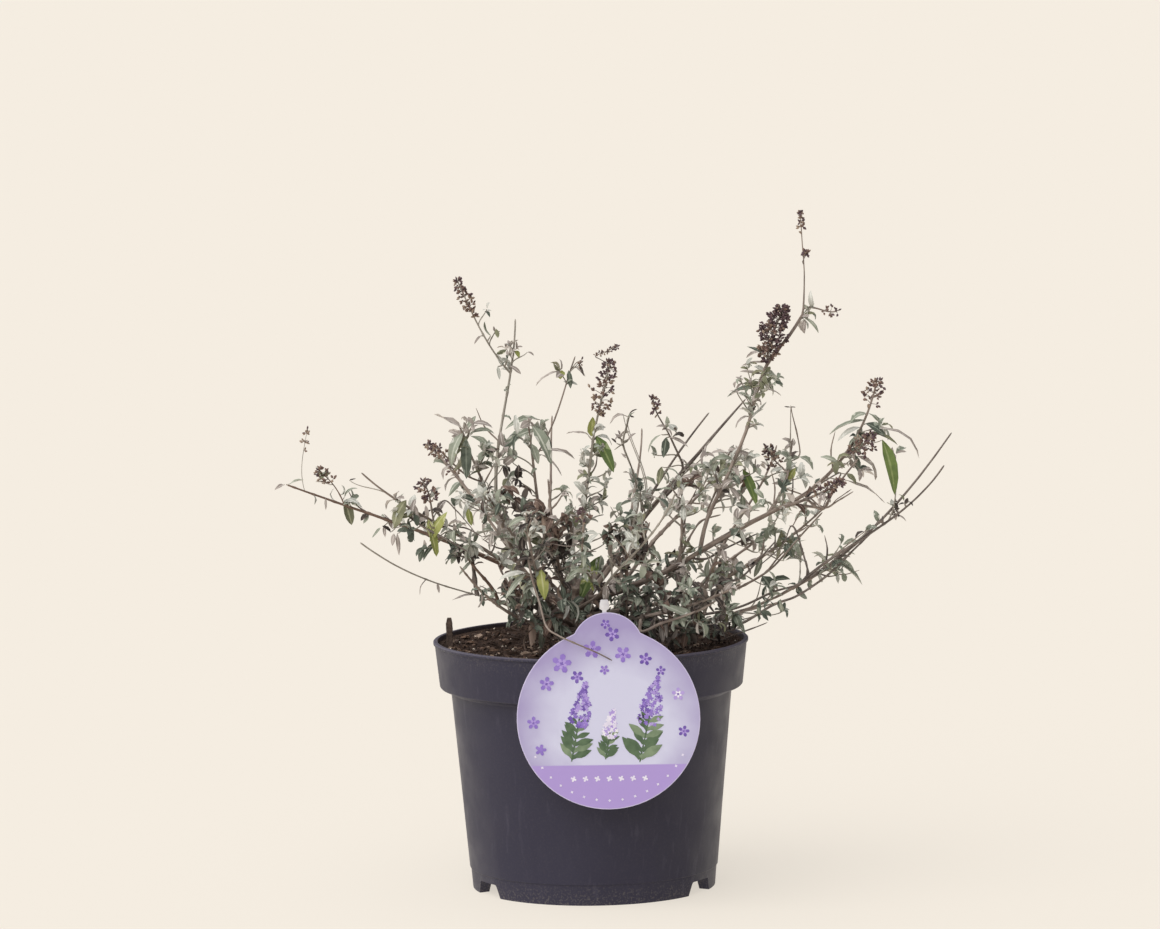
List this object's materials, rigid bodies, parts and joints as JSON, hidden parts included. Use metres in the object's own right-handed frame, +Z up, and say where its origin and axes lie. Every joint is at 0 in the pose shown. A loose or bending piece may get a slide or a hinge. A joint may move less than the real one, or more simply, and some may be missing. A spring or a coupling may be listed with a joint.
{
  "type": "butterfly bush in a nursery pot",
  "caption": "Wide, open bush in winter with dry flower spikes and grey-green leaves on arching stems, in a round tapered nursery pot with a round hanging label.",
  "frame": {"origin": "centre of the pot's flat underside", "axes": "+Z up along the pot's axis, -Y towards the label at the front, +X to the right as the label is read"},
  "size_m": [0.4003, 0.3033, 0.4061],
  "materials": {
    "pot": "satin",
    "soil": "rough",
    "label_print": "satin",
    "stake_plastic": "satin",
    "bark": "rough",
    "foliage": "matt"
  },
  "bodies": {
    "root": {"pot": "pot", "soil": "soil", "label": "label_print", "label_stake": "stake_plastic", "woody_foot": "bark", "bough_back_left": "bark", "bough_back_right": "bark", "bough_centre_back": "bark", "bough_far_right": "bark", "bough_front": "bark", "bough_left_long": "bark", "bough_left_low": "bark", "bough_left_tall": "bark", "bough_right": "bark", "bough_right_back": "bark", "bough_right_outer": "bark", "bough_stub": "bark", "shoot_back_far": "foliage", "shoot_back_left": "foliage", "shoot_back_mid": "foliage", "shoot_back_right": "foliage", "shoot_centre": "foliage", "shoot_centre_back": "foliage", "shoot_front": "foliage", "shoot_front_left": "foliage", "shoot_front_low": "foliage", "shoot_front_right": "foliage", "shoot_front_side": "foliage", "shoot_left_back": "foliage", "shoot_left_inner": "foliage", "shoot_left_long": "foliage", "shoot_left_mid": "foliage", "shoot_left_tall": "foliage", "shoot_left_upper": "foliage", "shoot_right": "foliage", "shoot_right_back": "foliage", "shoot_right_back_low": "foliage", "shoot_right_back_up": "foliage", "shoot_right_dry": "foliage", "shoot_right_inner": "foliage", "shoot_right_leafy": "foliage", "shoot_stub": "foliage", "shoot_tall": "foliage", "stick_centre": "foliage", "stick_stub": "foliage", "tuft_centre": "foliage", "tuft_centre_back": "foliage", "tuft_centre_right": "foliage", "tuft_dry": "foliage", "tuft_foot_back": "foliage", "tuft_foot_front": "foliage", "tuft_foot_left": "foliage", "tuft_foot_right": "foliage", "tuft_left_low": "foliage", "tuft_right_low": "foliage", "whip_left": "foliage", "whip_right": "foliage", "whip_right_front": "foliage"}
  },
  "joints": []
}
